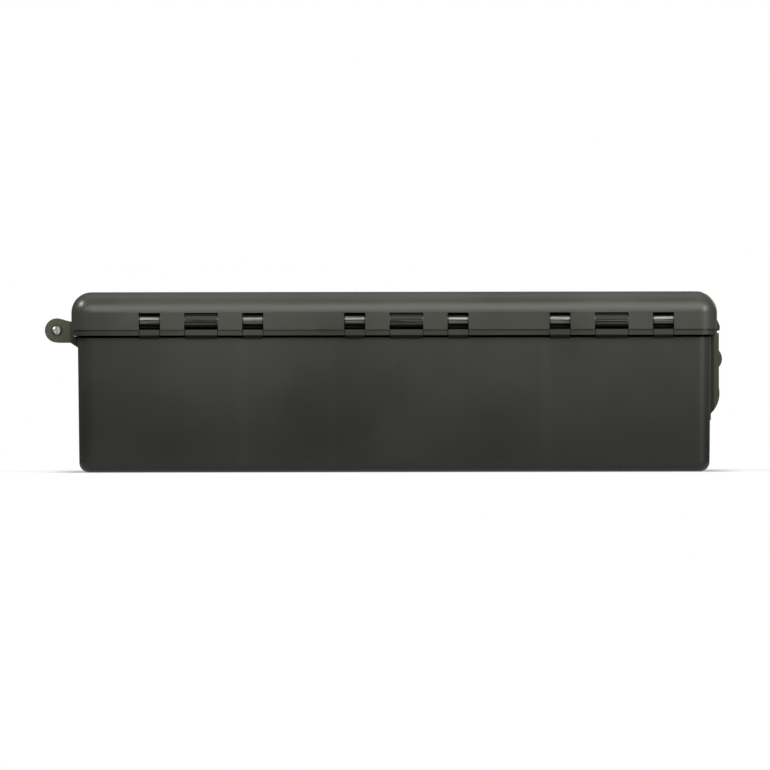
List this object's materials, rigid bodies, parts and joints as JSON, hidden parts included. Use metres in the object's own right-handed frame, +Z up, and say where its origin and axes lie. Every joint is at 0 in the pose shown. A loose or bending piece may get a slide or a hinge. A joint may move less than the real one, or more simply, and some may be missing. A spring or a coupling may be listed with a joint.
{
  "type": "tackle box",
  "caption": "Low moulded tackle case with a pin-hinged lid, over-centre draw latches, a fold-down handle, a strap bar and divided bays",
  "frame": {"origin": "on the flat underside, at the centre of the case in plan", "axes": "+X along the case, -Y towards the hinged long side, +Z up"},
  "size_m": [0.3799, 0.247, 0.1005],
  "materials": {
    "case_plastic": "semi-gloss moulded",
    "stainless_steel": "drawn wire",
    "latch_plastic": "semi-gloss moulded",
    "divider_plastic": "moulded"
  },
  "bodies": {
    "base": {"base_shell": "case_plastic", "strap_bar": "stainless_steel", "handle_bracket_left": "case_plastic", "handle_bracket_right": "case_plastic", "handle_pin_left": "stainless_steel", "handle_pin_right": "stainless_steel", "latch_pivot_pin_right_end": "stainless_steel", "latch_pivot_pin_front_left": "stainless_steel", "latch_pivot_pin_front_right": "stainless_steel", "bay_partition_left": "divider_plastic", "bay_partition_right": "divider_plastic", "centre_divider_left": "divider_plastic", "centre_divider_middle": "divider_plastic", "centre_divider_right": "divider_plastic", "cross_divider_left_rear": "divider_plastic", "cross_divider_left_front": "divider_plastic", "cross_divider_right_rear": "divider_plastic", "cross_divider_right_front": "divider_plastic"},
    "lid": {"lid_shell": "case_plastic", "hinge_pin_left": "stainless_steel", "hinge_pin_middle": "stainless_steel", "hinge_pin_right": "stainless_steel"},
    "handle": {"carry_handle": "latch_plastic"},
    "lever_right_end": {"latch_lever_right_end": "latch_plastic", "latch_hook_pin_right_end": "stainless_steel"},
    "hook_right_end": {"latch_hook_right_end": "latch_plastic"},
    "lever_front_left": {"latch_lever_front_left": "latch_plastic", "latch_hook_pin_front_left": "stainless_steel"},
    "hook_front_left": {"latch_hook_front_left": "latch_plastic"},
    "lever_front_right": {"latch_lever_front_right": "latch_plastic", "latch_hook_pin_front_right": "stainless_steel"},
    "hook_front_right": {"latch_hook_front_right": "latch_plastic"}
  },
  "joints": [
    {"name": "lid_hinge", "type": "hinge", "parent": "base", "child": "lid", "pos_m": [0, -0.1164, 0.0848], "axis": [1, 0, 0], "range_deg": [0, 105]},
    {"name": "handle_swing", "type": "hinge", "parent": "base", "child": "handle", "pos_m": [0, 0.122, 0.062], "axis": [1, 0, 0], "range_deg": [0, 95]},
    {"name": "lever_turn_right_end", "type": "hinge", "parent": "base", "child": "lever_right_end", "pos_m": [0.1771, 0, 0.0629], "axis": [0, -1, 0], "range_deg": [0, 100]},
    {"name": "hook_turn_right_end", "type": "hinge", "parent": "lever_right_end", "child": "hook_right_end", "pos_m": [0.17591, 0, 0.056], "axis": [0, -1, 0], "range_deg": [-100, 0]},
    {"name": "lever_turn_front_left", "type": "hinge", "parent": "base", "child": "lever_front_left", "pos_m": [-0.115, 0.1171, 0.0629], "axis": [1, 0, 0], "range_deg": [0, 100]},
    {"name": "hook_turn_front_left", "type": "hinge", "parent": "lever_front_left", "child": "hook_front_left", "pos_m": [-0.115, 0.11591, 0.056], "axis": [1, 0, 0], "range_deg": [-100, 0]},
    {"name": "lever_turn_front_right", "type": "hinge", "parent": "base", "child": "lever_front_right", "pos_m": [0.115, 0.1171, 0.0629], "axis": [1, 0, 0], "range_deg": [0, 100]},
    {"name": "hook_turn_front_right", "type": "hinge", "parent": "lever_front_right", "child": "hook_front_right", "pos_m": [0.115, 0.11591, 0.056], "axis": [1, 0, 0], "range_deg": [-100, 0]}
  ],
  "couplings": [
    {"joint": "hook_turn_right_end", "follows": "lever_turn_right_end", "ratio": -1},
    {"joint": "hook_turn_front_left", "follows": "lever_turn_front_left", "ratio": -1},
    {"joint": "hook_turn_front_right", "follows": "lever_turn_front_right", "ratio": -1}
  ]
}
